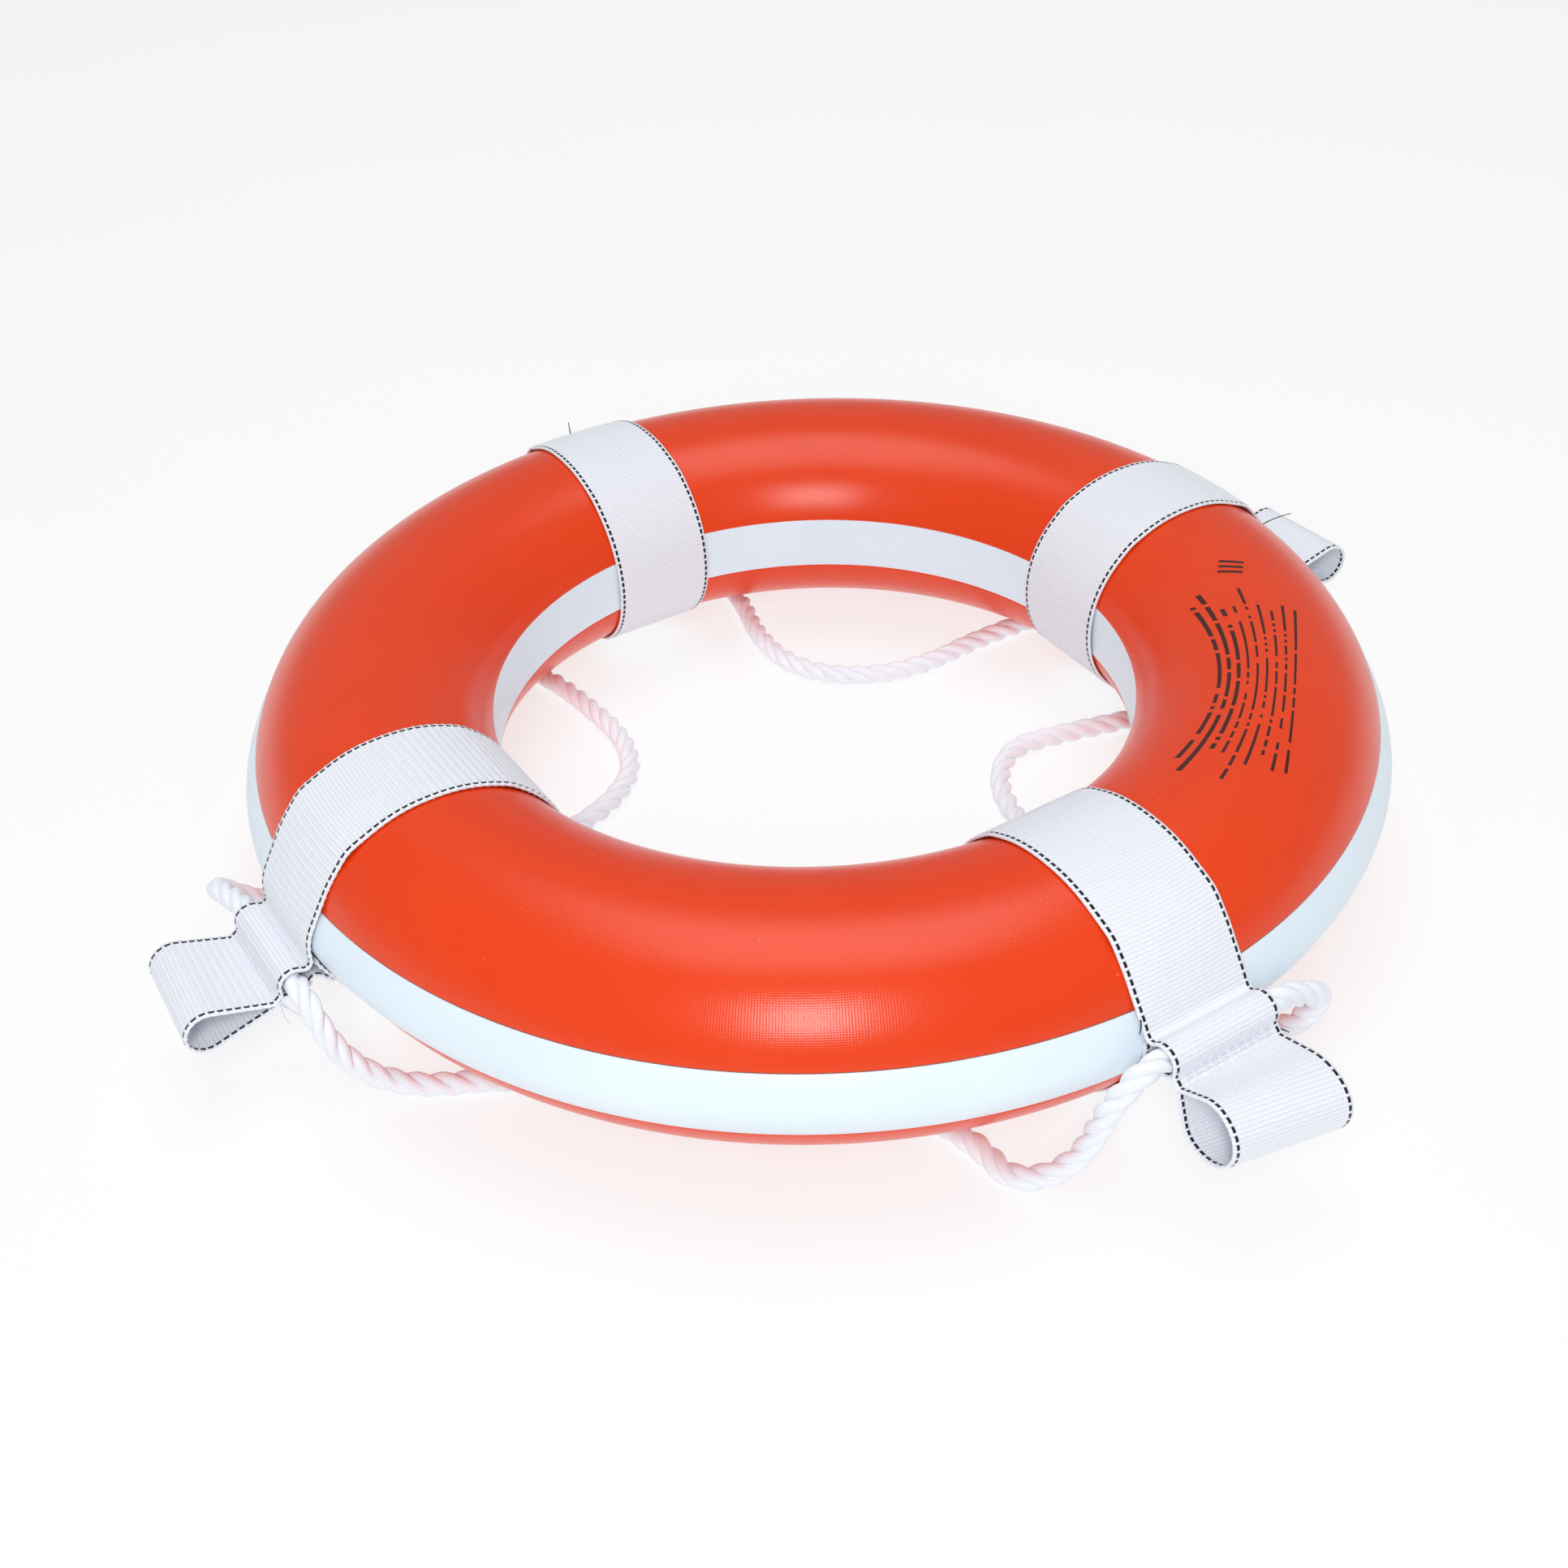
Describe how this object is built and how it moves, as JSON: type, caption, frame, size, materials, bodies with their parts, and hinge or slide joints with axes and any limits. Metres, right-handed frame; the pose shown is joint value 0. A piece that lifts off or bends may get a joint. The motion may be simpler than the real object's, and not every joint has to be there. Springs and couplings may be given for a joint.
{
  "type": "ring lifebuoy",
  "caption": "Ring lifebuoy with an orange skin and white equator bands, webbing straps with rope tunnels and sewn hand loops, and a grab line threaded through them, lying flat.",
  "frame": {"origin": "centre of the ring, on its axis and mid plane", "axes": "+Z along the ring's axis, up as it lies; the straps sit near -Y (front), +X (right), +Y (rear) and -X (left)"},
  "size_m": [0.6132, 0.611, 0.1081],
  "materials": {
    "foam": "closed-cell foam",
    "orange_skin": "satin, finely grained",
    "white_band": "satin",
    "webbing": "ribbed woven webbing with a black tracer near each edge",
    "thread": "sewing thread",
    "rope": "three-strand laid rope"
  },
  "bodies": {
    "ring": {"foam_core": "foam", "upper_skin": "orange_skin", "lower_skin": "orange_skin", "outer_band": "white_band", "inner_band": "white_band", "strap_front": "webbing", "seam_stitching_front": "thread", "strap_right": "webbing", "seam_stitching_right": "thread", "strap_rear": "webbing", "seam_stitching_rear": "thread", "strap_left": "webbing", "seam_stitching_left": "thread", "grab_line_left_front": "rope", "grab_line_front_right": "rope", "grab_line_right_rear": "rope", "grab_line_rear_left": "rope"},
    "loop_front": {"hand_loop_front": "webbing"},
    "loop_right": {"hand_loop_right": "webbing"},
    "loop_rear": {"hand_loop_rear": "webbing"},
    "loop_left": {"hand_loop_left": "webbing"}
  },
  "joints": [
    {"name": "hand_loop_front_flex", "type": "hinge", "parent": "ring", "child": "loop_front", "pos_m": [0.00238, -0.2725, -0.00365], "axis": [-1, -0.0087, 0], "range_deg": [-60, 30], "stiffness_Nm_per_rad": 0.05},
    {"name": "hand_loop_right_flex", "type": "hinge", "parent": "ring", "child": "loop_right", "pos_m": [0.27146, -0.00569, -0.01208], "axis": [-0.0209, -0.9998, 0], "range_deg": [-60, 30], "stiffness_Nm_per_rad": 0.05},
    {"name": "hand_loop_rear_flex", "type": "hinge", "parent": "ring", "child": "loop_rear", "pos_m": [0.00047, 0.27174, -0.01002], "axis": [1, -0.0017, 0], "range_deg": [-60, 30], "stiffness_Nm_per_rad": 0.05},
    {"name": "hand_loop_left_flex", "type": "hinge", "parent": "ring", "child": "loop_left", "pos_m": [-0.27306, -0.00334, -0.01937], "axis": [-0.0122, 0.9999, 0], "range_deg": [-60, 30], "stiffness_Nm_per_rad": 0.05}
  ]
}
